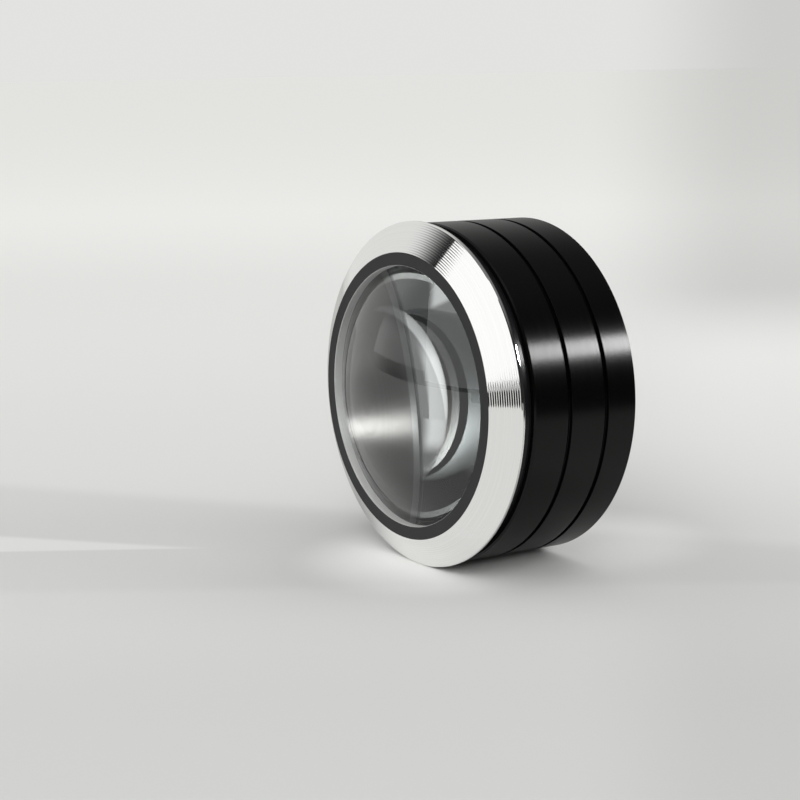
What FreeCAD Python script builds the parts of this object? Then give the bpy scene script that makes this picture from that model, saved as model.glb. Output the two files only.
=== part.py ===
"""Illuminated stand magnifier with a touch switch.

A short anodised barrel stands on the page. A conical metal bezel above it holds a thick biconvex
lens and is the touch electrode, so a moulded ring keeps it apart from the barrel. Between the barrel
and the inner sleeve lie the battery holder, the light ring and the circuit board with its LEDs.
The origin is the centre of the base, and +Z points up along the lens axis.
"""
import FreeCAD, Part
import math
import os
import re
import Sketcher

doc = FreeCAD.newDocument("StandMagnifier")

# Driving dimensions in millimetres and degrees
SIZES = {
    "barrel_radius": 40.0,
    "barrel_wall": 1.8,
    "barrel_height": 28.8,
    "front_chamfer": 0.35,
    "base_chamfer": 0.3,
    "groove_width": 1.15,
    "groove_depth": 0.9,
    "low_groove": 8.0,
    "high_groove": 18.35,
    "fit_gap": 0.1,
    "collar_height": 2.8,
    "collar_recess": 1.2,
    "collar_plug": 2.6,
    "collar_wall": 1.5,
    "bezel_overhang": 0.5,
    "bezel_height": 4.9,
    "bezel_band": 0.75,
    "bezel_break": 0.25,
    "bezel_lip": 0.1,
    "skirt_wall": 2.6,
    "cavity_width": 6.4,
    "sleeve_wall": 1.2,
    "well_inset": 1.0,
    "lens_front_curve": 55.5,
    "lens_back_curve": 116.5,
    "lens_edge": 3.2,
    "lens_recess": 2.25,
    "lens_cover": 1.15,
    "retaining_step": 1.8,
    "retaining_floor": 0.4,
    "gasket_height": 0.7,
    "gasket_width": 1.1,
    "base_recess": 0.4,
    "base_height": 2.0,
    "sleeve_seat": 0.6,
    "light_clearance": 1.2,
    "light_height": 3.0,
    "light_wall": 1.0,
    "light_flange_height": 2.4,
    "light_bevel": 1.2,
    "board_gap": 0.2,
    "board_height": 1.2,
    "board_inset": 0.3,
    "led_count": 6,
    "led_length": 3.5,
    "led_width": 2.8,
    "led_height": 1.4,
    "led_window": 1.15,
    "led_window_depth": 0.3,
    "resistor_length": 1.6,
    "resistor_width": 0.8,
    "resistor_height": 0.5,
    "chip_length": 2.9,
    "chip_width": 1.6,
    "chip_height": 1.1,
    "leaf_thickness": 0.2,
    "leaf_width": 1.4,
    "pillar_radius": 1.6,
    "pillar_inset": 0.35,
    "pillar_count": 3,
    "pillar_angle": 60.0,
    "screw_radius": 0.8,
    "screw_head_radius": 1.45,
    "screw_head_height": 0.85,
    "screw_length": 6.0,
    "screw_slot": 0.35,
    "screw_slot_depth": 0.4,
    "cell_radius": 5.8,
    "cell_height": 3.1,
    "cell_cap_radius": 4.9,
    "cell_cap_height": 0.35,
    "cell_inset": 1.4,
    "cell_partition": 1.17,
    "cell_end_wall": 0.75,
    "cell_floor": 2.6,
    "strip_thickness": 0.25,
    "strip_width": 6.0,
    "strip_height": 7.0,
    "tail_width": 2.0,
    "tail_step": 0.6,
    "tail_inset": 0.8,
    "link_rise": 0.55,
    "holder_roof": 0.9,
    "pocket_gap": 0.15,
    "slot_margin": 0.25,
    "door_rim": 0.6,
    "door_height": 0.9,
    "door_gap": 0.1,
    "door_edge": 0.85,
    "door_boss_radius": 1.7,
    "door_boss_inset": 0.8,
    "door_boss_height": 3.0,
    "finger_notch_angle": 3.0,
}

sheet = doc.addObject("Spreadsheet::Sheet", "Sizes")
for row, (alias, value) in enumerate(SIZES.items(), start=1):
    sheet.set(f"A{row}", alias.replace("_", " "))
    sheet.set(f"B{row}", str(value))
    sheet.setAlias(f"B{row}", alias)
doc.recompute()


# Lengths that follow from the driving dimensions, as formulas of the sheet's aliases
BORE = "(barrel_radius - barrel_wall)"
SLEEVE_OUTER = f"({BORE} - cavity_width)"
WELL = f"({SLEEVE_OUTER} - sleeve_wall)"
LENS = f"({WELL} + well_inset)"
PLUG = f"({BORE} - fit_gap)"
COLLAR = "(barrel_radius - collar_recess)"
SKIRT_INNER = f"({WELL} - 2 * fit_gap)"
SKIRT = f"({SKIRT_INNER} + skirt_wall)"
COLLAR_BORE = f"({SKIRT} + fit_gap)"
BEZEL_BACK = "(barrel_height + collar_height)"
BEZEL_RADIUS = "(barrel_radius + bezel_overhang)"
FRONT = f"({BEZEL_BACK} + bezel_height)"
WINDOW = f"({LENS} - lens_cover)"
LENS_BORE = f"({LENS} + fit_gap)"
RING_BORE = f"({LENS_BORE} + retaining_step)"
FRONT_CENTRE = f"({FRONT} - lens_recess - sqrt(lens_front_curve ^ 2 - {WINDOW} ^ 2))"
EDGE_TOP = f"({FRONT_CENTRE} + sqrt(lens_front_curve ^ 2 - {LENS} ^ 2))"
EDGE_BOTTOM = f"({EDGE_TOP} - lens_edge)"
BACK_CENTRE = f"({EDGE_BOTTOM} + sqrt(lens_back_curve ^ 2 - {LENS} ^ 2))"
SEAT = f"({EDGE_BOTTOM} - gasket_height)"
RING_FLOOR = f"({EDGE_TOP} - retaining_floor)"
PLUG_BOTTOM = "(barrel_height - collar_plug)"
POCKET_TOP = "(cell_floor + 2 * cell_radius + 2 * pocket_gap)"
HOLDER_TOP = f"({POCKET_TOP} + holder_roof)"
SLEEVE_TOP = f"({HOLDER_TOP} + light_clearance)"
FLANGE_TOP = f"({SLEEVE_TOP} + light_flange_height)"
LIGHT_TOP = f"({SLEEVE_TOP} + light_height)"
BOARD_BOTTOM = f"({FLANGE_TOP} + board_gap + led_height)"
BOARD_TOP = f"({BOARD_BOTTOM} + board_height)"
BOARD_EDGE = f"({BORE} - board_inset)"
COLLAR_FOOT = f"({BOARD_TOP} + board_gap)"
SKIRT_FOOT = f"({BOARD_TOP} + 3 * board_gap)"
BASE_TOP = "(base_recess + base_height)"
PILLAR_CIRCLE = f"({BORE} - pillar_inset - pillar_radius)"
FLANGE = f"({PILLAR_CIRCLE} - pillar_radius - fit_gap / 2)"
BOARD_INNER = f"({WELL} + light_wall + board_gap)"
LED_CIRCLE = f"({BOARD_INNER} + fit_gap + led_width / 2)"
PART_CIRCLE = f"(({BOARD_EDGE} + {COLLAR_BORE} + collar_wall) / 2)"
CELL_INNER = f"({SLEEVE_OUTER} + cell_inset)"
CELL_OUTER = f"({CELL_INNER} + cell_height)"
CELL_CORNER = f"sqrt({CELL_OUTER} ^ 2 + cell_radius ^ 2)"
CELL_MIDDLE = "(cell_floor + cell_radius)"
POCKET_INNER = f"({CELL_INNER} - strip_thickness - pocket_gap)"
POCKET_OUTER = f"({CELL_OUTER} + strip_thickness + pocket_gap)"
STRIP_FLOOR = f"({CELL_MIDDLE} - strip_height / 2)"
STRIP_TOP = f"({STRIP_FLOOR} + strip_height)"
TAIL_FLOOR = f"({HOLDER_TOP} + tail_step)"
TAIL_RADIUS = f"({FLANGE} + tail_inset)"
SLOT_INNER = f"({POCKET_INNER} - fit_gap / 2)"
SLOT_OUTER = f"({CELL_CORNER} + slot_margin)"
DOOR_INNER = f"({SLOT_INNER} - door_rim)"
DOOR_OUTER = f"({SLOT_OUTER} + door_rim)"
DOOR_TOP = "(base_recess + door_height)"
DOOR_CIRCLE = f"(({SLOT_INNER} + {SLOT_OUTER}) / 2)"

# Angles that follow from the driving dimensions, each from the middle of the battery door
CELL_PITCH = f"(2 * atan((cell_radius + pocket_gap + cell_partition / 2) / {POCKET_INNER}) / 1 deg)"
SLOT_ANGLE = f"({CELL_PITCH} + atan((cell_radius + 2 * pocket_gap) / {POCKET_INNER}) / 1 deg)"
HOLDER_ANGLE = f"({CELL_PITCH} + atan((cell_radius + pocket_gap + cell_end_wall) / {POCKET_INNER}) / 1 deg)"
DOOR_SCREW_ANGLE = f"({HOLDER_ANGLE} + asin((door_boss_radius + door_boss_inset) / {DOOR_CIRCLE}) / 1 deg)"
DOOR_ANGLE = f"({DOOR_SCREW_ANGLE} + asin((screw_head_radius + door_edge) / {DOOR_CIRCLE}) / 1 deg)"


def bind(formula):
    """Puts the sheet's name before each alias in a formula."""
    return re.sub(r"[a-z_]+", lambda m: "Sizes." + m[0] if m[0] in SIZES else m[0], formula)


def size(formula):
    """The value of a formula in the sheet's own numbers."""
    result = sheet.evalExpression(bind(formula))
    return float(getattr(result, "Value", result))


def on_plane(body, name, role):
    """A new sketch on one of the body's origin planes."""
    sketch = body.newObject("Sketcher::SketchObject", name)
    plane = next(f for f in body.Origin.OriginFeatures if f.Role == role)
    sketch.AttachmentSupport = [(plane, "")]
    sketch.MapMode = "FlatFace"
    return sketch


def draw_section(sketch, corners):
    """A closed outline whose corners are each tied to the axis and the base by formulas."""
    points = [FreeCAD.Vector(size(r), size(z), 0) for r, z in corners]
    for index, point in enumerate(points):
        sketch.addGeometry(Part.LineSegment(point, points[(index + 1) % len(points)]), False)
    for index, (r, z) in enumerate(corners):
        following = (index + 1) % len(corners)
        sketch.addConstraint(Sketcher.Constraint("Coincident", index, 2, following, 1))
        radius = sketch.addConstraint(Sketcher.Constraint("DistanceX", -1, 1, index, 1, points[index].x))
        sketch.setExpression(f"Constraints[{radius}]", bind(r))
        if z == "0":
            sketch.addConstraint(Sketcher.Constraint("PointOnObject", index, 1, -1))
            continue
        height = sketch.addConstraint(Sketcher.Constraint("DistanceY", -1, 1, index, 1, points[index].y))
        sketch.setExpression(f"Constraints[{height}]", bind(z))


def spin(body, kind, name, corners, angle):
    """A revolution or groove of a section about the lens axis, centred on +X if it is not a full turn."""
    sketch = on_plane(body, name + "_section", "XZ_Plane")
    draw_section(sketch, corners)
    feature = body.newObject("PartDesign::" + kind, name)
    feature.Profile = sketch
    feature.ReferenceAxis = (sketch, ["V_Axis"])
    feature.Midplane = True
    if angle == "full":
        feature.Angle = 360
    else:
        feature.setExpression("Angle", bind(f"2 * {angle}"))
    body.Tip = feature
    doc.recompute()
    return feature


def turned(label, corners, angle="full"):
    """A body turned from one section."""
    body = doc.addObject("PartDesign::Body", label + "_body")
    body.Label = label
    spin(body, "Revolution", label + "_turned", corners, angle)
    return body


def rectangle(inner, outer, low, high):
    """The corners of a rectangular section."""
    return [(inner, low), (outer, low), (outer, high), (inner, high)]


def primitive(kind, name, lengths):
    """A Part primitive with its lengths tied to the sheet."""
    item = doc.addObject("Part::" + kind, name)
    for field, formula in lengths.items():
        item.setExpression(field, bind(formula))
    return item


def block(name, radial, across, low, high, azimuth="0"):
    """A box that spans two radii and two heights, centred on an azimuth."""
    inner, outer = radial
    item = primitive("Box", name, {
        "Length": f"({outer}) - ({inner})",
        "Width": across,
        "Height": f"({high}) - ({low})",
        "Placement.Base.x": f"{inner} * cos({azimuth}) + {across} / 2 * sin({azimuth})",
        "Placement.Base.y": f"{inner} * sin({azimuth}) - {across} / 2 * cos({azimuth})",
        "Placement.Base.z": low,
        "Placement.Rotation.Angle": azimuth,
    })
    return item


def upright(name, radius, circle, low, high, azimuth="0"):
    """A vertical cylinder at a place on a circle round the lens axis."""
    return primitive("Cylinder", name, {
        "Radius": radius,
        "Height": f"({high}) - ({low})",
        "Placement.Base.x": f"{circle} * cos({azimuth})",
        "Placement.Base.y": f"{circle} * sin({azimuth})",
        "Placement.Base.z": low,
    })


def joined(name, items):
    """The fusion of several solids."""
    fuse = doc.addObject("Part::MultiFuse", name)
    fuse.Shapes = items
    return fuse


def cut(name, base, tool):
    """The first solid less the second."""
    result = doc.addObject("Part::Cut", name)
    result.Base = base
    result.Tool = tool
    return result


def finished(item, label):
    """Names a sub-part, so that it is written out."""
    item.Label = label
    sub_parts.append(item)
    doc.recompute()


def at(azimuth):
    """An azimuth in degrees as a formula; plain numbers need their unit."""
    return f"({azimuth}) * 1 deg"


sub_parts = []

# Barrel: a tube turned from aluminium, with chamfered ends and two square grooves
barrel = turned("barrel", [
    (BORE, "0"),
    ("barrel_radius - base_chamfer", "0"),
    ("barrel_radius", "base_chamfer"),
    ("barrel_radius", "barrel_height - front_chamfer"),
    ("barrel_radius - front_chamfer", "barrel_height"),
    (BORE, "barrel_height"),
])
for place in ("low_groove", "high_groove"):
    spin(barrel, "Groove", place + "_cut",
         rectangle("barrel_radius - groove_depth", "barrel_radius + groove_depth",
                   place, f"{place} + groove_width"), "full")
finished(barrel, "barrel")

# Insulating ring: a collar shows between barrel and bezel, a plug centres it in the barrel
insulating_ring = turned("insulating_ring", [
    (COLLAR_BORE, COLLAR_FOOT),
    (f"{COLLAR_BORE} + collar_wall", COLLAR_FOOT),
    (f"{COLLAR_BORE} + collar_wall", PLUG_BOTTOM),
    (PLUG, PLUG_BOTTOM),
    (PLUG, "barrel_height"),
    (COLLAR, "barrel_height"),
    (COLLAR, BEZEL_BACK),
    (COLLAR_BORE, BEZEL_BACK),
])
finished(insulating_ring, "insulating_ring")

# Bezel: a cone with a narrow band at its edge, a skirt inside the collar and a seat for the lens
bezel = turned("bezel", [
    (RING_BORE, FRONT),
    (f"{BEZEL_RADIUS} - bezel_break", f"{BEZEL_BACK} + bezel_break + bezel_band"),
    (BEZEL_RADIUS, f"{BEZEL_BACK} + bezel_band"),
    (BEZEL_RADIUS, f"{BEZEL_BACK} + bezel_break"),
    (f"{BEZEL_RADIUS} - bezel_break", BEZEL_BACK),
    (SKIRT, BEZEL_BACK),
    (SKIRT, SKIRT_FOOT),
    (SKIRT_INNER, SKIRT_FOOT),
    (SKIRT_INNER, SEAT),
    (LENS_BORE, SEAT),
    (LENS_BORE, RING_FLOOR),
    (RING_BORE, RING_FLOOR),
])
finished(bezel, "bezel")

# Retaining ring: screwed into the bezel, bears on the front of the lens along its inner edge
retaining_ring = turned("retaining_ring", [
    (WINDOW, f"{FRONT} - lens_recess + fit_gap / 2"),
    (f"{LENS_BORE} + fit_gap", f"{EDGE_TOP} + fit_gap / 2"),
    (f"{LENS_BORE} + fit_gap", f"{RING_FLOOR} + fit_gap / 2"),
    (f"{RING_BORE} - fit_gap / 2", f"{RING_FLOOR} + fit_gap / 2"),
    (f"{RING_BORE} - fit_gap / 2", f"{FRONT} + bezel_lip / 2"),
    (WINDOW, f"{FRONT} + bezel_lip / 2"),
])
finished(retaining_ring, "retaining_ring")

# Lens: what two spheres and a cylinder have in common
front_ball = primitive("Sphere", "lens_front", {
    "Radius": "lens_front_curve",
    "Placement.Base.z": FRONT_CENTRE,
})
back_ball = primitive("Sphere", "lens_back", {
    "Radius": "lens_back_curve",
    "Placement.Base.z": BACK_CENTRE,
})
lens_blank = upright("lens_blank", LENS, "0", f"{EDGE_BOTTOM} - {LENS}", f"{FRONT} + {LENS}")
lens = doc.addObject("Part::MultiCommon", "lens_ground")
lens.Shapes = [lens_blank, front_ball, back_ball]
finished(lens, "lens")

# Gasket: a rubber ring on the seat, whose top takes the form of the back of the lens
gasket_blank = turned("gasket_blank", rectangle(
    f"{LENS} - gasket_width", LENS, SEAT, EDGE_BOTTOM))
finished(cut("gasket_formed", gasket_blank, back_ball), "lens_gasket")

# Inner sleeve: the dark wall of the viewing well, standing in a rebate of the base
sleeve = turned("inner_sleeve", rectangle(
    WELL, SLEEVE_OUTER, "base_recess + sleeve_seat", SLEEVE_TOP))
finished(sleeve, "inner_sleeve")

# Light ring: an upright wall faces the well, a bevelled flange lies under the LEDs
light_ring = turned("light_ring", [
    (WELL, SLEEVE_TOP),
    (SLEEVE_OUTER, SLEEVE_TOP),
    (FLANGE, f"{SLEEVE_TOP} + light_bevel"),
    (FLANGE, FLANGE_TOP),
    (f"{WELL} + light_wall", FLANGE_TOP),
    (f"{WELL} + light_wall", LIGHT_TOP),
    (WELL, LIGHT_TOP),
])
finished(light_ring, "light_ring")

# Light shield: a black band on the light ring, which hides the board and the LEDs from the eye
light_shield = turned("light_shield", rectangle(
    WELL, f"{WELL} + light_wall", LIGHT_TOP, f"{SKIRT_FOOT} - fit_gap"))
finished(light_shield, "light_shield")

# Circuit board: a ring with notches that the pillars pass through
pillar_azimuths = [at(f"pillar_angle + {index} * 360 / pillar_count") for index in range(SIZES["pillar_count"])]
board_blank = turned("board_blank", rectangle(BOARD_INNER, BOARD_EDGE, BOARD_BOTTOM, BOARD_TOP))
notches = [
    upright(f"board_notch_{index}", "pillar_radius + board_gap", PILLAR_CIRCLE,
            f"{BOARD_BOTTOM} - board_height", f"{BOARD_TOP} + board_height", azimuth)
    for index, azimuth in enumerate(pillar_azimuths, start=1)]
board = cut("board_drilled", board_blank, joined("board_notches", notches))
finished(board, "led_board")

# LEDs: white surface-mount packages under the board, each with a round window
for index in range(1, SIZES["led_count"] + 1):
    azimuth = at(f"({index} - 0.5) * 360 / led_count")
    package = block(f"led_package_{index}",
                    (f"({LED_CIRCLE} - led_width / 2)", f"({LED_CIRCLE} + led_width / 2)"),
                    "led_length", f"({BOARD_BOTTOM} - led_height)", BOARD_BOTTOM, azimuth)
    window = upright(f"led_window_{index}", "led_window", LED_CIRCLE,
                     f"({BOARD_BOTTOM} - led_height - led_window_depth)",
                     f"({BOARD_BOTTOM} - led_height + led_window_depth)", azimuth)
    finished(cut(f"led_moulded_{index}", package, window), f"led_{index}")


def on_board(name, length, width, height, azimuth):
    """A small package that lies on top of the board, its length round the circle."""
    return block(name, (f"({PART_CIRCLE} - {width} / 2)", f"({PART_CIRCLE} + {width} / 2)"),
                 length, BOARD_TOP, f"({BOARD_TOP} + {height})", azimuth)


# Resistors: one for each LED, above it on the board
for index in range(1, SIZES["led_count"] + 1):
    azimuth = at(f"({index} - 0.5) * 360 / led_count + {HOLDER_ANGLE} / 4")
    resistor = on_board(f"resistor_block_{index}", "resistor_length", "resistor_width",
                        "resistor_height", azimuth)
    finished(resistor, f"resistor_{index}")

# Touch chip and LED driver: two small packages on the far side from the cells
for label, side in (("touch_chip", "1"), ("led_driver", "-1")):
    azimuth = at(f"180 + {side} * {HOLDER_ANGLE} / 3")
    finished(on_board(label + "_block", "chip_length", "chip_width", "chip_height", azimuth), label)


def leaf(label, outline, width, azimuth):
    """A bent spring leaf: an outline in radius and height, as wide as given, set at an azimuth."""
    corners = [FreeCAD.Vector(size(r), -size(width) / 2, size(z)) for r, z in outline]
    face = Part.Face(Part.makePolygon(corners + corners[:1]))
    item = doc.addObject("Part::Feature", label + "_leaf")
    item.Shape = face.extrude(FreeCAD.Vector(0, size(width), 0))
    item.Placement = FreeCAD.Placement(
        FreeCAD.Vector(), FreeCAD.Rotation(FreeCAD.Vector(0, 0, 1), size(azimuth)))
    finished(item, label)


# Touch contact: a leaf from the board to the foot of the bezel's skirt
leaf("touch_contact", [
    (f"{BOARD_INNER} + fit_gap", BOARD_TOP),
    (f"{SKIRT} - fit_gap", BOARD_TOP),
    (f"{SKIRT} - fit_gap", f"{BOARD_TOP} + leaf_thickness"),
    (f"{BOARD_INNER} + fit_gap + 2 * leaf_thickness", f"{BOARD_TOP} + leaf_thickness"),
    (f"{SKIRT} - fit_gap", f"{SKIRT_FOOT} - leaf_thickness"),
    (f"{SKIRT} - fit_gap", SKIRT_FOOT),
    (f"{SKIRT} - fit_gap - 2 * leaf_thickness", SKIRT_FOOT),
    (f"{BOARD_INNER} + fit_gap", f"{BOARD_TOP} + leaf_thickness"),
], "leaf_width", at("180"))

# Body contact: a leaf from the board to the bore of the barrel
leaf("body_contact", [
    (f"{BOARD_EDGE} - leaf_width", BOARD_TOP),
    (f"{BOARD_EDGE} - leaf_thickness", BOARD_TOP),
    (f"sqrt({BORE} ^ 2 - leaf_width ^ 2)", f"{BOARD_TOP} + 4 * leaf_thickness"),
    (f"{BORE} - leaf_thickness", f"{BOARD_TOP} + 5 * leaf_thickness"),
    (f"{BOARD_EDGE} - 2 * leaf_thickness", f"{BOARD_TOP} + leaf_thickness"),
    (f"{BOARD_EDGE} - leaf_width", f"{BOARD_TOP} + leaf_thickness"),
], "2 * leaf_width", at("150"))

# Pillars: brass, between the base and the plug of the insulating ring
for index, azimuth in enumerate(pillar_azimuths, start=1):
    rod = upright(f"pillar_rod_{index}", "pillar_radius", PILLAR_CIRCLE, BASE_TOP, PLUG_BOTTOM, azimuth)
    tapped = upright(f"pillar_bore_{index}", "screw_radius", PILLAR_CIRCLE, f"{BASE_TOP} - fit_gap",
                     f"{BASE_TOP} + screw_length", azimuth)
    finished(cut(f"pillar_drilled_{index}", rod, tapped), f"pillar_{index}")


def countersink(name, circle, azimuth, gap="0"):
    """A flat-headed screw's outline or, with a gap, the hole that it sits in."""
    head = primitive("Cone", name + "_head", {
        "Radius1": f"screw_head_radius + {gap}",
        "Radius2": f"screw_radius + {gap}",
        "Height": "screw_head_height",
        "Placement.Base.x": f"{circle} * cos({azimuth})",
        "Placement.Base.y": f"{circle} * sin({azimuth})",
        "Placement.Base.z": "base_recess",
    })
    shank = upright(name + "_shank", f"screw_radius + {gap}", circle, "base_recess",
                    f"base_recess + screw_length + {gap}", azimuth)
    return joined(name, [head, shank])


def screw(name, circle, azimuth):
    """A flat-headed screw with a crossed slot."""
    blades = []
    for across, blade in (("2 * screw_radius", "screw_slot"), ("screw_slot", "2 * screw_radius")):
        blades.append(block(f"{name}_blade_{len(blades) + 1}",
                            (f"({circle} - {blade} / 2)", f"({circle} + {blade} / 2)"), across,
                            "base_recess - screw_slot_depth", "(base_recess + screw_slot_depth)", azimuth))
    return cut(name, countersink(name + "_blank", circle, azimuth), joined(name + "_cross", blades))


# Base screws: three alike, one through the base into each pillar
base_screws = doc.addObject("Part::Compound", "base_screw_set")
base_screws.Links = [
    screw(f"base_screw_{index}", PILLAR_CIRCLE, azimuth)
    for index, azimuth in enumerate(pillar_azimuths, start=1)]
finished(base_screws, "base_screws")

# Base ring: closes the space between sleeve and barrel, open over the cells
base_blank = turned("base_blank", [
    (WELL, "base_recess"),
    (PLUG, "base_recess"),
    (PLUG, BASE_TOP),
    (f"{SLEEVE_OUTER} + fit_gap", BASE_TOP),
    (f"{SLEEVE_OUTER} + fit_gap", "base_recess + sleeve_seat"),
    (WELL, "base_recess + sleeve_seat"),
])
spin(base_blank, "Groove", "cell_slot",
     rectangle(SLOT_INNER, SLOT_OUTER, "base_recess / 2", f"{BASE_TOP} + base_recess"), SLOT_ANGLE)
spin(base_blank, "Groove", "door_rebate",
     rectangle(DOOR_INNER, DOOR_OUTER, "base_recess / 2", DOOR_TOP), DOOR_ANGLE)
door_boss = upright("door_boss", "door_boss_radius", DOOR_CIRCLE, BASE_TOP,
                    f"({BASE_TOP} + door_boss_height)", at(DOOR_SCREW_ANGLE))
door_bore = upright("door_bore", "screw_radius", DOOR_CIRCLE, "base_recess",
                    f"({BASE_TOP} + 2 * door_boss_height)", at(DOOR_SCREW_ANGLE))
screw_seats = [
    countersink(f"base_seat_{index}", PILLAR_CIRCLE, azimuth, "fit_gap / 2")
    for index, azimuth in enumerate(pillar_azimuths, start=1)]
base_ring = cut("base_drilled", joined("base_with_boss", [base_blank, door_boss]),
                joined("base_holes", screw_seats + [door_bore]))
finished(base_ring, "base_ring")

# Battery door: an arched plate in the rebate, held by one screw, with a notch for a fingernail
door_blank = turned("door_blank", rectangle(
    f"{DOOR_INNER} + door_gap", f"{DOOR_OUTER} - door_gap", "base_recess", DOOR_TOP),
    f"({DOOR_ANGLE} - asin(door_gap / {DOOR_CIRCLE}) / 1 deg)")
spin(door_blank, "Groove", "finger_notch",
     rectangle(f"{DOOR_OUTER} - 2 * door_gap - door_rim", f"{DOOR_OUTER} + door_gap",
               "base_recess / 2", "base_recess + door_height / 2"), "finger_notch_angle")
door = cut("door_drilled", door_blank,
           countersink("door_seat", DOOR_CIRCLE, at(DOOR_SCREW_ANGLE), "fit_gap / 2"))
finished(door, "battery_door")
finished(screw("door_screw_cut", DOOR_CIRCLE, at(DOOR_SCREW_ANGLE)), "door_screw")

# Cells: three button cells stand on edge, facing in and out by turns
cell_azimuths = [at(f"{turn} * {CELL_PITCH}") for turn in (-1, 0, 1)]
for index, azimuth in enumerate(cell_azimuths, start=1):
    faces_in = index % 2 == 0
    can = primitive("Cylinder", f"cell_can_{index}", {
        "Radius": "cell_radius", "Height": "cell_height - cell_cap_height"})
    cap = primitive("Cylinder", f"cell_cap_{index}", {
        "Radius": "cell_cap_radius", "Height": "cell_height"})
    for shell in (can, cap):
        start = CELL_OUTER if faces_in else CELL_INNER
        shell.Placement.Rotation = FreeCAD.Rotation(
            FreeCAD.Vector(0, 0, 1), FreeCAD.Vector(-1 if faces_in else 1, 0, 0))
        shell.setExpression("Placement.Base.x", bind(start))
        shell.setExpression("Placement.Base.z", bind(CELL_MIDDLE))
    cell = joined(f"cell_closed_{index}", [can, cap])
    cell.setExpression("Placement.Rotation.Angle", bind(azimuth))
    finished(cell, f"cell_{index}")


def sector(name, inner, outer, low, high, angle, centre):
    """Part of a ring, as a tool: so many degrees wide, centred on an azimuth."""
    wedge, core = (
        primitive("Cylinder", f"{name}_{part}", {
            "Radius": radius,
            "Height": f"({high}) - ({low})",
            "Angle": at(angle),
            "Placement.Base.z": low,
            "Placement.Rotation.Angle": at(f"{centre} - {angle} / 2"),
        }) for part, radius in (("wedge", outer), ("core", inner)))
    return cut(name, wedge, core)


# Battery holder: an arched tray with a pocket for each cell and slots for the strips
holder_blank = turned("holder_blank", rectangle(
    f"{SLEEVE_OUTER} + pocket_gap", f"{PLUG} - pocket_gap", BASE_TOP, HOLDER_TOP), HOLDER_ANGLE)
pockets = [
    block(f"cell_pocket_{index}",
          (POCKET_INNER, POCKET_OUTER), "(2 * cell_radius + 2 * pocket_gap)",
          f"({BASE_TOP} - base_recess)", POCKET_TOP, azimuth)
    for index, azimuth in enumerate(cell_azimuths, start=1)]
slot_floor, slot_roof = f"{STRIP_FLOOR} - pocket_gap", f"{STRIP_TOP} + pocket_gap"
inner_slot = sector("link_inner_slot", f"{POCKET_INNER} - 2 * pocket_gap", f"{CELL_INNER} + 3 * pocket_gap",
                    slot_floor, slot_roof, CELL_PITCH, f"-{CELL_PITCH} / 2")
outer_slot = sector("link_outer_slot", CELL_OUTER, BORE,
                    slot_floor, slot_roof, CELL_PITCH, f"{CELL_PITCH} / 2")
plus_slot = block("plus_slot", (f"({CELL_OUTER} - pocket_gap)", POCKET_OUTER),
                  "(tail_width + 2 * pocket_gap)", CELL_MIDDLE, f"({HOLDER_TOP} + base_recess)", cell_azimuths[0])
minus_slot = block("minus_slot", (POCKET_INNER, f"({CELL_INNER} + pocket_gap)"),
                   "(tail_width + 2 * pocket_gap)", CELL_MIDDLE, f"({HOLDER_TOP} + base_recess)", cell_azimuths[2])
holder = cut("holder_moulded", holder_blank,
             joined("holder_pockets", pockets + [inner_slot, outer_slot, plus_slot, minus_slot]))
finished(holder, "battery_holder")


def strip_link(label, near, far, bow, azimuths):
    """A flat strip that joins two neighbouring cells: a plate on each and a bowed bridge between."""
    half = size("strip_width") / 2
    angles = [math.radians(size(azimuth)) for azimuth in azimuths]
    middle = sum(angles) / 2

    def place(radius, across, angle):
        return FreeCAD.Vector(radius * math.cos(angle) - across * math.sin(angle),
                              radius * math.sin(angle) + across * math.cos(angle), size(STRIP_FLOOR))

    def side(radius, bridge):
        return [place(radius, -half, angles[0]), place(radius, half, angles[0]),
                place(bridge, 0, middle),
                place(radius, -half, angles[1]), place(radius, half, angles[1])]

    outline = side(size(near), size(bow)) + side(size(far), size(bow) + size(far) - size(near))[::-1]
    item = doc.addObject("Part::Feature", label + "_strip")
    item.Shape = Part.Face(Part.makePolygon(outline + outline[:1])).extrude(
        FreeCAD.Vector(0, 0, size("strip_height")))
    finished(item, label)


# Links: one joins the first two cells on their inner faces, one the last two on their outer faces
strip_link("link_inner", f"{CELL_INNER} - strip_thickness", CELL_INNER,
           f"{CELL_INNER} - strip_thickness", cell_azimuths[:2])
strip_link("link_outer", CELL_OUTER, f"{CELL_OUTER} + strip_thickness",
           f"{CELL_CORNER} + link_rise", cell_azimuths[1:])

# Plus contact: a plate on the outer face of the first cell, with a tail up to the board
plus_radii = (CELL_OUTER, f"({CELL_OUTER} + strip_thickness)")
plus_plate = block("plus_plate", plus_radii, "strip_width", STRIP_FLOOR,
                   STRIP_TOP, cell_azimuths[0])
plus_tail = block("plus_tail", plus_radii, "tail_width", CELL_MIDDLE, BOARD_BOTTOM, cell_azimuths[0])
finished(joined("plus_strip", [plus_plate, plus_tail]), "contact_plus")

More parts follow.
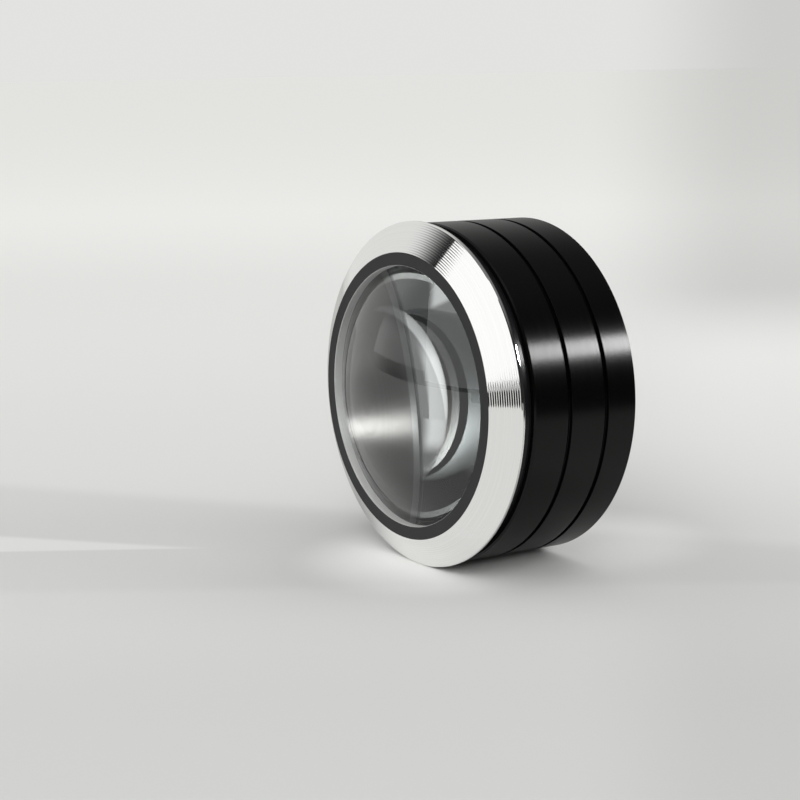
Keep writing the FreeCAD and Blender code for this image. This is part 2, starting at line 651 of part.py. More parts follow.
# Minus contact: a plate on the inner face of the last cell, its tail stepped out past the light ring
minus_radii = (f"({CELL_INNER} - strip_thickness)", CELL_INNER)
minus_plate = block("minus_plate", minus_radii, "strip_width", STRIP_FLOOR,
                    STRIP_TOP, cell_azimuths[2])
minus_riser = block("minus_riser", minus_radii, "tail_width", CELL_MIDDLE,
                    f"({TAIL_FLOOR} + strip_thickness)", cell_azimuths[2])
minus_step = block("minus_step", (f"({CELL_INNER} - strip_thickness)", f"({TAIL_RADIUS} + strip_thickness)"),
                   "tail_width", TAIL_FLOOR, f"({TAIL_FLOOR} + strip_thickness)", cell_azimuths[2])
minus_tail = block("minus_tail", (TAIL_RADIUS, f"({TAIL_RADIUS} + strip_thickness)"),
                   "tail_width", TAIL_FLOOR, BOARD_BOTTOM, cell_azimuths[2])
finished(joined("minus_strip", [minus_plate, minus_riser, minus_step, minus_tail]), "contact_minus")


# Every object must have recomputed, and every sub-part must be a whole solid
doc.recompute()
failed = [item.Name for item in doc.Objects if {"Invalid", "Error"} & set(item.State)]
if failed:
    raise RuntimeError("failed objects: " + ", ".join(failed))
for item in sub_parts:
    if item.Shape.isNull() or not item.Shape.isValid() or not item.Shape.Solids:
        raise RuntimeError("no valid solid: " + item.Label)

os.makedirs("parts", exist_ok=True)
for item in sub_parts:
    item.Shape.exportStep(f"parts/{item.Label}.step")
    box = item.Shape.BoundBox
    print(f"{item.Label}: {len(item.Shape.Solids)} solid, {item.Shape.Volume:.1f} mm3, "
          f"z {box.ZMin:.2f} to {box.ZMax:.2f}")
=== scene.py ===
"""Illuminated stand magnifier with a touch switch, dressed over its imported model.

The magnifier lies on its side, so the table is the plane that the bezel and the foot of the
barrel rest on: +X points up from the table and +Z along the lens axis. All lengths are in metres.
"""
import bpy
import math
from mathutils import Matrix, Vector


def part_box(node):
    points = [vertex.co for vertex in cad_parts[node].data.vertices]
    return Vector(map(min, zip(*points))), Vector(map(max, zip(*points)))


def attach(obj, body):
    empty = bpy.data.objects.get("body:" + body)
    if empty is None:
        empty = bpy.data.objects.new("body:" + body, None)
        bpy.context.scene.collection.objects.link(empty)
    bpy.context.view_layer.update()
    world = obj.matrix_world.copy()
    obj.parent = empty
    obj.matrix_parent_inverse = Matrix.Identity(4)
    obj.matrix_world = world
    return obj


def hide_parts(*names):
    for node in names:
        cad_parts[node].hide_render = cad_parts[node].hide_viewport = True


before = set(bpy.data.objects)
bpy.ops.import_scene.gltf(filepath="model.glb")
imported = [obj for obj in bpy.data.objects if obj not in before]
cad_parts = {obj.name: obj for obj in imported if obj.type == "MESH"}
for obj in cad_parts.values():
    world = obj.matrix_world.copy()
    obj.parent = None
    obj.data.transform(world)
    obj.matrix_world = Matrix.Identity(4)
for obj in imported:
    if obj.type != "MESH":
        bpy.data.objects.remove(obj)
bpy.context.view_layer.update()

# Table card
# The magnifier lies on a sheet of matt white card that runs off out of sight. Light and shade are
# painted into its colour: darker near the camera and lighter far off, painted shade and a painted pool
# of light on the right, a painted lit field, band and streak of light, pale patches of painted light
# where the bright bezel and the barrel's foot throw light back, and a painted dark shadow line where
# they touch it.
scene = bpy.context.scene
scene.view_settings.view_transform = "Standard"
rim_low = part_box("bezel")[0]
foot_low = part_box("barrel")[0]
rim_contact = Vector((rim_low.x, 0, 0.0320))
foot_contact = Vector((foot_low.x, 0, 0.0003))
table_reach = 12.0
# Painted light falloff: the card's colour runs from darker near the camera to lighter far off.
near_card = (0.500, 0.504, 0.497, 1)
far_card = (0.90, 0.90, 0.885, 1)
card_fade = (-0.30, 1.1)
away_heading = (0, 0.833, -0.553)
right_heading = (0, -0.553, -0.833)
eye_back = 0.44
eye_right = 0.031
# Painted shade on the right of the card, weaker near the camera, with a painted pool of light between.
right_edge = (0.095, 0.19)
right_near, right_middle, right_shade = 0.92, 1.07, 0.80
right_near_fade = (-0.05, 0.08)
right_far_fade = (0.26, 0.52)
# Painted light: a lit field beside the magnifier's shadow, a band near the camera, and a streak of light
# such as the lens throws.
lit_heading = (0, 0.594, -0.805)
lit_edge = (0.009, 0.023)
lit_end = (0.22, 0.62)
painted_front_band = ((-0.12, -0.06), (-0.042, -0.034))
streak_near_heading = (0, 0.658, -0.752)
streak_near_edge = (-0.0247, -0.0212)
streak_far_heading = (0, 0.844, -0.5365)
streak_far_edge = (-0.0013, 0.0010)
# Painted shadow: a dark line on the card under the barrel, between its foot and the bezel.
contact_width = ((-0.0110, -0.0050), (0.001, 0.007))
contact_length = ((-0.004, 0.003), (0.0265, 0.0315))
# Painted light: pale patches for the light that the bright bezel and the barrel's foot throw back on the
# card.
rim_painted_light = (rim_low.x, 0.002, 0.028)
foot_painted_light = (foot_low.x, -0.006, -0.014)
painted_light_edge = (0.006, 0.036)


def blank_material(name):
    """An empty material and its node tree."""
    material = bpy.data.materials.new(name)
    material.use_nodes = True
    material.node_tree.nodes.clear()
    return material, material.node_tree


def placed(tree, kind, **settings):
    """A node in a tree; settings are properties, or numbered and named inputs in a dictionary."""
    node = tree.nodes.new(kind)
    inputs = settings.pop("inputs", {})
    for field, value in settings.items():
        setattr(node, field, value)
    for socket, value in inputs.items():
        node.inputs[socket].default_value = value
    return node


def joined_up(tree, operation, first, second):
    """Two values of a tree put together; the second may be a plain number."""
    node = tree.nodes.new("ShaderNodeMath")
    node.operation = operation
    tree.links.new(first, node.inputs[0])
    if isinstance(second, float):
        node.inputs[1].default_value = second
    else:
        tree.links.new(second, node.inputs[1])
    return node.outputs[0]


def both(tree, first, second):
    """The product of two masks: white where both are."""
    return joined_up(tree, "MULTIPLY", first, second)


def total(tree, first, second):
    """The sum of two values of a tree; the second may be a plain number."""
    return joined_up(tree, "ADD", first, second)


def eased(tree, value, start, end, low=0.0, high=1.0):
    """A value of a tree eased from one level to another between two of its readings."""
    node = placed(tree, "ShaderNodeMapRange", interpolation_type="SMOOTHSTEP", inputs={
        "From Min": start, "From Max": end, "To Min": low, "To Max": high})
    tree.links.new(value, node.inputs["Value"])
    return node.outputs[0]


def fading(tree, value, start, end):
    """A mask that is white up to one reading of a value and black from another."""
    return eased(tree, value, start, end, 1.0, 0.0)


def between(tree, value, rise, fall):
    """A mask that rises over one pair of readings of a value and falls over the other."""
    return both(tree, eased(tree, value, *rise), fading(tree, value, *fall))


def along(tree, place, heading):
    """How far a place lies along a heading."""
    node = placed(tree, "ShaderNodeVectorMath", operation="DOT_PRODUCT", inputs={1: heading})
    tree.links.new(place, node.inputs[0])
    return node.outputs["Value"]


def near_spot(tree, place, centre, core, reach):
    """A mask round a spot: white within its core and black beyond its reach."""
    node = placed(tree, "ShaderNodeVectorMath", operation="DISTANCE", inputs={1: centre})
    tree.links.new(place, node.inputs[0])
    return fading(tree, node.outputs["Value"], core, reach)


def toned(tree, colour, mask, level):
    """A colour of a tree made lighter or darker where a mask is white."""
    node = placed(tree, "ShaderNodeMix", data_type="RGBA", blend_type="MULTIPLY", inputs={
        7: (level, level, level, 1)})
    tree.links.new(mask, node.inputs[0])
    tree.links.new(colour, node.inputs[6])
    return node.outputs[2]


def flat_sheet(name, corners):
    """A single flat sheet."""
    mesh = bpy.data.meshes.new(name)
    mesh.from_pydata([tuple(corner) for corner in corners], [], [tuple(range(len(corners)))])
    sheet = bpy.data.objects.new(name, mesh)
    scene.collection.objects.link(sheet)
    return sheet


along_table = (rim_contact - foot_contact).normalized()
across_table = Vector((0, 1, 0))
table = flat_sheet("table_card", [
    foot_contact + table_reach * (side * across_table + end * along_table)
    for side, end in ((-1, -1), (1, -1), (1, 1), (-1, 1))])
card, tree = blank_material("card_painted_light")
card_place = placed(tree, "ShaderNodeTexCoord").outputs["Object"]
card_parts = placed(tree, "ShaderNodeSeparateXYZ")
tree.links.new(card_place, card_parts.inputs[0])
across = card_parts.outputs["Y"]
lengthwise = card_parts.outputs["Z"]
away = along(tree, card_place, away_heading)
depth = total(tree, away, eye_back)
aside = total(tree, along(tree, card_place, right_heading), eye_right)
# Painted shade and a painted pool of light on the right-hand side of the card.
painted_right_side_mask = eased(tree, joined_up(tree, "DIVIDE", aside, depth), *right_edge)
painted_right_level = total(tree, eased(tree, away, *right_near_fade, right_near, right_middle),
                    eased(tree, away, *right_far_fade, 0.0, right_shade - right_middle))
# Painted light falloff across the card, darker near and lighter far.
card_painted_falloff = placed(tree, "ShaderNodeMix", data_type="RGBA", inputs={6: near_card, 7: far_card})
tree.links.new(eased(tree, away, *card_fade), card_painted_falloff.inputs[0])
card_shade = placed(tree, "ShaderNodeMix", data_type="RGBA", blend_type="MULTIPLY")
tree.links.new(painted_right_side_mask, card_shade.inputs[0])
tree.links.new(card_painted_falloff.outputs[2], card_shade.inputs[6])
tree.links.new(painted_right_level, card_shade.inputs[7])
# Painted lit field and painted light streak on the card.
painted_lit_field = both(tree, eased(tree, along(tree, card_place, lit_heading), *lit_edge),
                 fading(tree, away, *lit_end))
painted_light_streak = both(tree, fading(tree, along(tree, card_place, streak_near_heading), *streak_near_edge),
              eased(tree, along(tree, card_place, streak_far_heading), *streak_far_edge))
painted_contact_shadow = both(tree, between(tree, across, *contact_width),
                    between(tree, lengthwise, *contact_length))
# Each mask tones the card's colour: painted light where its level is above one, painted shade where
# below.
card_colour = card_shade.outputs[2]
for mask, level in (
        (painted_lit_field, 1.085),
        (between(tree, away, *painted_front_band), 1.05),
        (painted_light_streak, 1.16),
        (painted_contact_shadow, 0.20),
        (near_spot(tree, card_place, rim_painted_light, *painted_light_edge), 1.68),
        (near_spot(tree, card_place, foot_painted_light, *painted_light_edge), 1.42)):
    card_colour = toned(tree, card_colour, mask, level)

# The card as the magnifier mirrors it and as the lens shows it
# In the bezel's mirror image the card glows as a painted bright stretch in front of it, and in the
# barrel's it is painted dark beside it and in painted shade under it. Through the lens the card glows as
# a painted dim ground with two painted pale stretches. The card is seen from above only.
# Painted reflection and painted shade, seen only by mirrored and lens rays.
side_heading = (0, -0.673, -0.74)
beside_barrel = (0.16, 0.30)
below_barrel = (0.025, 0.055)
below_barrel_end = (0.0265, 0.0315)
before_bezel = (0.030, 0.045)
bezel_view_colour = (0.74, 0.74, 0.73, 1)
lens_near_heading = (0, 0.9187, 0.395)
lens_near_edge = (0.0415, 0.0462)
lens_near_level = 0.42
lens_near_fade = (0.0620, 0.0665)
lens_near_rest = 0.15
lens_far_heading = (0, 0.391, -0.921)
lens_far_edge = (-0.042, -0.026)
lens_far_fade = (0.062, 0.102)
lens_far_level = 0.46
lens_ground = 0.11
card_sight = placed(tree, "ShaderNodeLightPath")
in_gloss = card_sight.outputs["Is Glossy Ray"]
sideways = along(tree, card_place, side_heading)
painted_shade_under_barrel = both(tree, fading(tree, sideways, *below_barrel),
                    fading(tree, lengthwise, *below_barrel_end))
# Painted shade in the barrel's mirror image: dark beside the barrel and dimmer under it.
for mask, level in ((eased(tree, sideways, *beside_barrel), 0.05), (painted_shade_under_barrel, 0.66)):
    card_colour = toned(tree, card_colour, both(tree, mask, in_gloss), level)
card_shader = placed(tree, "ShaderNodeBsdfDiffuse")
tree.links.new(card_colour, card_shader.inputs["Color"])
# Painted reflection: the card glows in front of the bezel for mirrored rays, though it is no lamp.
bezel_painted_reflection = placed(tree, "ShaderNodeEmission", inputs={"Color": bezel_view_colour})
by_gloss = placed(tree, "ShaderNodeMixShader")
tree.links.new(both(tree, eased(tree, lengthwise, *before_bezel), in_gloss), by_gloss.inputs[0])
tree.links.new(card_shader.outputs[0], by_gloss.inputs[1])
tree.links.new(bezel_painted_reflection.outputs[0], by_gloss.inputs[2])
# Painted light and shade seen through the lens: a glowing dim ground with two pale stretches.
before_lens = both(
    tree, eased(tree, along(tree, card_place, lens_near_heading), *lens_near_edge, 0.0, lens_near_level),
    eased(tree, lengthwise, *lens_near_fade, 1.0, lens_near_rest))
far_behind = both(tree, eased(tree, across, *lens_far_fade, 0.0, lens_far_level),
                  eased(tree, along(tree, card_place, lens_far_heading), *lens_far_edge))
through_lens = total(tree, total(tree, before_lens, far_behind), lens_ground)
lens_painted_glow = placed(tree, "ShaderNodeEmission")
tree.links.new(through_lens, lens_painted_glow.inputs["Color"])
by_view = placed(tree, "ShaderNodeMixShader")
tree.links.new(card_sight.outputs["Is Transmission Ray"], by_view.inputs[0])
tree.links.new(by_gloss.outputs[0], by_view.inputs[1])
tree.links.new(lens_painted_glow.outputs[0], by_view.inputs[2])
seen_through = placed(tree, "ShaderNodeBsdfTransparent")
side_of_card = placed(tree, "ShaderNodeNewGeometry")
one_sided = placed(tree, "ShaderNodeMixShader")
card_out = placed(tree, "ShaderNodeOutputMaterial")
tree.links.new(side_of_card.outputs["Backfacing"], one_sided.inputs[0])
tree.links.new(by_view.outputs[0], one_sided.inputs[1])
tree.links.new(seen_through.outputs[0], one_sided.inputs[2])
tree.links.new(one_sided.outputs[0], card_out.inputs[0])
table.data.materials.append(card)

# Room and lamps
# The wall behind the card is pale, with a shaded stretch on the right, and the rest of the room is
# dim. A soft box stands low on the right, as one lamp that the metal mirrors and one that lights the
# magnifier, and a larger soft box stands in front.
room_pale = (0.765, 0.765, 0.752, 1)
room_fill = (0.85, 0.85, 0.84, 1)
room_dim = (0.02, 0.02, 0.021, 1)
room_overhead = (0.18, 0.18, 0.18, 1)
overhead_edge = (0.55, 0.85)
pale_across = (0.1, 0.75)
pale_behind = (-0.8, -0.3)
pale_behind_start = 0.15
right_wall_edge = (0.11, 0.20)
lens_wall_edge = (-0.15, 0.08)
lens_wall_level = 0.57
lens_wall_top = (0.14, 0.30)
lens_room_edge = (0.42, 0.62)
lens_room_levels = (0.14, 0.015)
lamp_direction = Vector((0.373, -0.62, -0.68))
front_direction = Vector((0.60, -0.50, 0.75))
lamp_distance = 1.1
world = bpy.data.worlds.new("studio_room")
scene.world = world
world.use_nodes = True
tree = world.node_tree
tree.nodes.clear()
sight = placed(tree, "ShaderNodeLightPath")
towards = placed(tree, "ShaderNodeTexCoord").outputs["Generated"]
parts = placed(tree, "ShaderNodeSeparateXYZ")
tree.links.new(towards, parts.inputs[0])
overhead = parts.outputs["X"]
lit_part = both(tree, eased(tree, parts.outputs["Y"], *pale_across),
                eased(tree, parts.outputs["Z"], *pale_behind, pale_behind_start))
dim_part = placed(tree, "ShaderNodeMix", data_type="RGBA", inputs={6: room_dim, 7: room_overhead})
tree.links.new(eased(tree, overhead, *overhead_edge), dim_part.inputs[0])
mirrored_room = placed(tree, "ShaderNodeMix", data_type="RGBA", inputs={7: room_pale})
tree.links.new(lit_part, mirrored_room.inputs[0])
tree.links.new(dim_part.outputs[2], mirrored_room.inputs[6])
by_mirror = placed(tree, "ShaderNodeMix", data_type="RGBA", inputs={6: room_fill})
tree.links.new(sight.outputs["Is Glossy Ray"], by_mirror.inputs[0])
tree.links.new(mirrored_room.outputs[2], by_mirror.inputs[7])
pale_wall = both(
    tree, eased(tree, along(tree, towards, lens_far_heading), *lens_wall_edge, 0.0, lens_wall_level),
    fading(tree, overhead, *lens_wall_top))
lens_room = total(tree, pale_wall, eased(tree, overhead, *lens_room_edge, *lens_room_levels))
by_lens = placed(tree, "ShaderNodeMix", data_type="RGBA")
tree.links.new(sight.outputs["Is Transmission Ray"], by_lens.inputs[0])
tree.links.new(by_mirror.outputs[2], by_lens.inputs[6])
tree.links.new(lens_room, by_lens.inputs[7])
far_wall = placed(tree, "ShaderNodeMix", data_type="RGBA", inputs={
    6: room_pale, 7: (*[right_shade * part for part in room_pale[:3]], 1)})
wall_ratio = joined_up(
    tree, "DIVIDE", along(tree, towards, right_heading), along(tree, towards, away_heading))
tree.links.new(eased(tree, wall_ratio, *right_wall_edge), far_wall.inputs[0])
by_sight = placed(tree, "ShaderNodeMix", data_type="RGBA")
tree.links.new(sight.outputs["Is Camera Ray"], by_sight.inputs[0])
tree.links.new(by_lens.outputs[2], by_sight.inputs[6])
tree.links.new(far_wall.outputs[2], by_sight.inputs[7])
glow = placed(tree, "ShaderNodeBackground")
world_out = placed(tree, "ShaderNodeOutputWorld")
tree.links.new(by_sight.outputs[2], glow.inputs["Color"])
tree.links.new(glow.outputs[0], world_out.inputs[0])


def soft_box(name, direction, width, height, power):
    """A lamp with a soft box of a given size, aimed at the magnifier."""
    data = bpy.data.lights.new(name, "AREA")
    data.shape = "RECTANGLE"
    data.size = width
    data.size_y = height
    data.energy = power
    lamp = bpy.data.objects.new(name, data)
    lamp.location = lamp_distance * direction.normalized()
    lamp.rotation_euler = direction.to_track_quat("Z", "Y").to_euler()
    scene.collection.objects.link(lamp)
    return lamp


mirrored_box = soft_box("low_soft_box", lamp_direction, width=0.16, height=0.35, power=9.2)
mirrored_box.visible_diffuse = False
lighting_box = soft_box("low_soft_box_light", lamp_direction, width=0.60, height=0.60, power=3.2)
lighting_box.visible_glossy = False
front_box = soft_box("front_soft_box", front_direction, width=0.80, height=0.80, power=6.2)
front_box.visible_glossy = False
front_box.visible_transmission = False

# Panels beside the table
# The white panel, the shaded one beside it and the low black flag are what the bright bezel mirrors.
# They stand outside the picture and show only in gloss.
panel_heading = math.radians(14)
panel_distance = 1.0
flag_heading = math.radians(-20)
flag_distance = 0.40
shaded_setback = 0.02
shade_foot = (0.075, 0.090)
shade_foot_level = 0.60
shade_foot_top = (0.25, 0.42)
shade_side = (0.39, 0.98)
shade_levels = (0.02, 0.74)


def panel(name, heading, distance, corners):
    """A sheet that faces the magnifier and shows only in gloss; corners are (sideways, height)."""
    outward = Vector((0, math.sin(heading), math.cos(heading)))
    sideways = Vector((0, math.cos(heading), -math.sin(heading)))
    sheet = flat_sheet(name, [
        distance * outward + reach * sideways + Vector((height, 0, 0)) for reach, height in corners])
    sheet.visible_camera = False
    sheet.visible_diffuse = False
    sheet.visible_transmission = False
    sheet.visible_shadow = False
    return sheet


def panel_finish(name, strength):
    """An even glow for a panel."""
    material, tree = blank_material(name)
    glow = placed(tree, "ShaderNodeEmission", inputs={"Color": strength})
    out = placed(tree, "ShaderNodeOutputMaterial")
    tree.links.new(glow.outputs[0], out.inputs[0])
    return material, tree, glow


white_panel = panel("white_panel", panel_heading, panel_distance, [
    (-0.60, 0.017), (0.132, 0.017), (0.132, 0.142), (0.231, 0.353), (0.330, 0.512), (0.398, 0.587),
    (0.480, 0.690), (0.484, 0.800), (0.498, 0.950), (0.516, 1.060), (0.552, 1.3), (-0.60, 1.3)])
white_panel.data.materials.append(panel_finish("panel_white", (1.08, 1.08, 1.08, 1))[0])
black_flag = panel("black_flag", flag_heading, flag_distance, [
    (-0.25, -0.032), (0.09, -0.032), (0.09, 0.011), (-0.25, 0.011)])
black_flag.data.materials.append(panel_finish("flag_black", (0.004, 0.004, 0.005, 1))[0])
shaded_panel = panel("shaded_panel", panel_heading, panel_distance + shaded_setback, [
    (0.10, -0.02), (1.17, -0.02), (1.17, 1.33), (0.10, 1.33)])
shade, tree, shade_glow = panel_finish("panel_shaded", (0, 0, 0, 1))
shade_place = placed(tree, "ShaderNodeTexCoord")
shade_parts = placed(tree, "ShaderNodeSeparateXYZ")
tree.links.new(shade_place.outputs["Generated"], shade_parts.inputs[0])
shade_height = placed(tree, "ShaderNodeSeparateXYZ")
tree.links.new(shade_place.outputs["Object"], shade_height.inputs[0])
pale_foot = both(tree, eased(tree, shade_height.outputs["X"], *shade_foot, 0.0, shade_foot_level),
                 fading(tree, shade_height.outputs["X"], *shade_foot_top))
graded = eased(tree, shade_parts.outputs["Y"], *shade_side, *shade_levels)
tree.links.new(total(tree, graded, pale_foot), shade_glow.inputs["Color"])
shaded_panel.data.materials.append(shade)

# Camera
# It stands a little above the table, well round from the lens axis, so that the lens shows on the
# left and the barrel runs off to the right. Its own lens is long, and depth of field stays off.
aim = Vector((-0.0042, 0.0166, 0.0264))
camera_distance = 0.4482
camera_height = math.radians(9.97)
camera_turn = math.radians(56.46)
focal_length = 82.95
table_normal = Vector((1, 0, 0))
backward = Vector((
    math.sin(camera_height),
    -math.cos(camera_height) * math.sin(camera_turn),
    math.cos(camera_height) * math.cos(camera_turn)))
rightward = table_normal.cross(backward).normalized()
upward = backward.cross(rightward)
camera_data = bpy.data.cameras.new("camera")
camera_data.lens = focal_length
camera_data.sensor_width = 36
camera_data.clip_end = 100
camera = bpy.data.objects.new("camera", camera_data)
axes = Matrix((rightward, upward, backward)).transposed().to_4x4()
camera.matrix_world = Matrix.Translation(aim + camera_distance * backward) @ axes
scene.collection.objects.link(camera)
scene.camera = camera

# Barrel
# A short tube turned from aluminium bar, with two square grooves and broken edges, then anodised
# black. The tool's marks run round it, so light from the side spreads into a band along it.
barrel_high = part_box("barrel")[1]
barrel_radius = barrel_high.x
barrel_height = barrel_high.z
barrel_wall = 0.0018
groove_width = 0.00115
groove_depth = 0.0009
groove_heights = (0.0080, 0.01835)
front_chamfer = 0.00035
foot_chamfer = 0.0003
fine_ease = 0.00006
groove_edge_ease = 0.00010
groove_floor_ease = 0.00015
lathe_steps = 256
eases_per_side = 2.2
axis_radius = 1e-9
mark_contrast = 0.08
noise_range = (0.3, 0.7)


def ease_corner(before, corner, after, ease):
    """The points of a small round at a corner, with the normals that it turns through. A short
    side shortens the ease, so that the rounds at its two ends stay apart."""
    into = (corner - before).normalized()
    out = (after - corner).normalized()
    reach = min(ease, (corner - before).length / eases_per_side, (after - corner).length / eases_per_side)
    first, last = corner - reach * into, corner + reach * out
    rounded = []
    for share in (0.0, 0.25, 0.5, 0.75, 1.0):
        point = first.lerp(corner, share).lerp(corner.lerp(last, share), share)
        heading = into.lerp(out, share).normalized()
        rounded.append((point, Vector((heading.y, -heading.x))))
    return rounded


def smooth_point(before, corner, after):
    """A point of a curve, whose normal lies midway between its two sides."""
    heading = ((corner - before).normalized() + (after - corner).normalized()).normalized()
    return [(corner, Vector((heading.y, -heading.x)))]


def turn_on_lathe(name, outline, closed=True):
    """A solid of revolution from (radius, height, ease) points, counter-clockwise seen from +Y.
    An ease of 0 keeps a point of a curve; an open outline starts and ends on the axis."""
    flat = [Vector((radius, height)) for radius, height, ease in outline]
    section = []
    for index, (radius, height, ease) in enumerate(outline):
        on_axis = not closed and index in (0, len(outline) - 1)
        if on_axis:
            section.append((flat[index], Vector((0, -1 if index == 0 else 1))))
        elif ease:
            section += ease_corner(flat[index - 1], flat[index], flat[(index + 1) % len(flat)], ease)
        else:
            section += smooth_point(flat[index - 1], flat[index], flat[(index + 1) % len(flat)])
    points = []
    normals = []
    rings = []
    for point, normal in section:
        steps = 1 if point.x < axis_radius else lathe_steps
        rings.append([len(points) + step for step in range(steps)])
        for step in range(steps):
            turn = 2 * math.pi * step / lathe_steps
            points.append((point.x * math.cos(turn), point.x * math.sin(turn), point.y))
            normals.append((normal.x * math.cos(turn), normal.x * math.sin(turn), normal.y))
    faces = []
    pairs = list(zip(rings, rings[1:] + rings[:1])) if closed else list(zip(rings, rings[1:]))
    for lower, upper in pairs:
        for step in range(lathe_steps):
            following = (step + 1) % lathe_steps
            if len(lower) == 1:
                faces.append((lower[0], upper[following], upper[step]))
            elif len(upper) == 1:
                faces.append((lower[step], lower[following], upper[0]))
            else:
                faces.append((lower[step], lower[following], upper[following], upper[step]))
    mesh = bpy.data.meshes.new(name)
    mesh.from_pydata(points, [], faces)
    mesh.shade_smooth()
    mesh.normals_split_custom_set_from_vertices(normals)
    piece = bpy.data.objects.new(name, mesh)
    scene.collection.objects.link(piece)
    return piece


def fitted(piece, node, slot, *materials):
    """Puts a turned piece in the place of its solid and gives it its finish."""
    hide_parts(node)
    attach(piece, "root")
    for material in materials:
        piece.data.materials.append(material)


def turning_marks_group():
    """Fine marks that run round the lens axis: their height over the surface."""
    group = bpy.data.node_groups.new("turning_marks", "ShaderNodeTree")
    socket = group.interface.new_socket("Spacing", in_out="INPUT", socket_type="NodeSocketFloat")
    socket.default_value = 0.0003
    group.interface.new_socket("Height", in_out="OUTPUT", socket_type="NodeSocketFloat")
    given = placed(group, "NodeGroupInput")
    where = placed(group, "ShaderNodeTexCoord")
    split = placed(group, "ShaderNodeSeparateXYZ")
    flat = placed(group, "ShaderNodeCombineXYZ")
    radius = placed(group, "ShaderNodeVectorMath", operation="LENGTH")
    heading = placed(group, "ShaderNodeVectorMath", operation="NORMALIZE")
    heading_parts = placed(group, "ShaderNodeSeparateXYZ")
    radial_count = placed(group, "ShaderNodeMath", operation="DIVIDE")
    axial_count = placed(group, "ShaderNodeMath", operation="DIVIDE")
    spot = placed(group, "ShaderNodeCombineXYZ")
    marks = placed(group, "ShaderNodeTexNoise", noise_dimensions="4D",
                   inputs={"Scale": 1.0, "Detail": 3.0, "Roughness": 0.6})
    given_out = placed(group, "NodeGroupOutput")
    group.links.new(where.outputs["Object"], split.inputs[0])
    group.links.new(split.outputs["X"], flat.inputs["X"])
    group.links.new(split.outputs["Y"], flat.inputs["Y"])
    group.links.new(flat.outputs[0], radius.inputs[0])
    group.links.new(flat.outputs[0], heading.inputs[0])
    group.links.new(heading.outputs[0], heading_parts.inputs[0])
    group.links.new(radius.outputs["Value"], radial_count.inputs[0])
    group.links.new(given.outputs["Spacing"], radial_count.inputs[1])
    group.links.new(split.outputs["Z"], axial_count.inputs[0])
    group.links.new(given.outputs["Spacing"], axial_count.inputs[1])
    group.links.new(radial_count.outputs[0], spot.inputs["X"])
    group.links.new(axial_count.outputs[0], spot.inputs["Y"])
    group.links.new(heading_parts.outputs["X"], spot.inputs["Z"])
    group.links.new(spot.outputs[0], marks.inputs["Vector"])
    group.links.new(heading_parts.outputs["Y"], marks.inputs["W"])
    group.links.new(marks.outputs["Fac"], given_out.inputs["Height"])
    return group


turning_marks = turning_marks_group()


def turned_metal(name, colour, metallic, roughness, spread, spacing, mark_depth, rough_spread=0.06,
                 specular=0.5):
    """Metal with the lathe's marks: a main colour, how far they spread a highlight, and their size."""
    material, tree = blank_material(name)
    shader = placed(tree, "ShaderNodeBsdfPrincipled", inputs={
        "Metallic": metallic, "Anisotropic": spread, "Anisotropic Rotation": 0.25,
        "Specular IOR Level": specular})
    out = placed(tree, "ShaderNodeOutputMaterial")
    marks = placed(tree, "ShaderNodeGroup", node_tree=turning_marks, inputs={"Spacing": spacing})
    tint = placed(tree, "ShaderNodeMix", data_type="RGBA", inputs={
        6: (*[(1 - mark_contrast) * part for part in colour], 1),
        7: (*[(1 + mark_contrast) * part for part in colour], 1)})
    sheen = placed(tree, "ShaderNodeMapRange", inputs={
        "From Min": noise_range[0], "From Max": noise_range[1],
        "To Min": roughness - rough_spread / 2, "To Max": roughness + rough_spread / 2})
    relief = placed(tree, "ShaderNodeBump", inputs={"Strength": 1.0, "Distance": mark_depth})
    round_axis = placed(tree, "ShaderNodeTangent", direction_type="RADIAL", axis="Z")
    tree.links.new(marks.outputs["Height"], tint.inputs[0])
    tree.links.new(tint.outputs[2], shader.inputs["Base Color"])
    tree.links.new(marks.outputs["Height"], sheen.inputs["Value"])
    tree.links.new(sheen.outputs[0], shader.inputs["Roughness"])
    tree.links.new(marks.outputs["Height"], relief.inputs["Height"])
    tree.links.new(relief.outputs[0], shader.inputs["Normal"])
    tree.links.new(round_axis.outputs[0], shader.inputs["Tangent"])
    tree.links.new(shader.outputs[0], out.inputs[0])
    return material


barrel_outline = [
    (barrel_radius - barrel_wall, 0, fine_ease),
    (barrel_radius - foot_chamfer, 0, fine_ease),
    (barrel_radius, foot_chamfer, fine_ease),
]
for groove in groove_heights:
    barrel_outline += [
        (barrel_radius, groove, groove_edge_ease),
        (barrel_radius - groove_depth, groove, groove_floor_ease),
        (barrel_radius - groove_depth, groove + groove_width, groove_floor_ease),
        (barrel_radius, groove + groove_width, groove_edge_ease),
    ]
barrel_outline += [
    (barrel_radius, barrel_height - front_chamfer, fine_ease),
    (barrel_radius - front_chamfer, barrel_height, fine_ease),
    (barrel_radius - barrel_wall, barrel_height, fine_ease),
]
anodised_black = turned_metal("anodised_black", (0.0014, 0.0012, 0.0012), metallic=0.0, roughness=0.23,
                              spread=0.7, spacing=0.00012, mark_depth=0.000002, specular=0.20)
fitted(turn_on_lathe("barrel_turned", barrel_outline), "barrel", "anodised_black", anodised_black)

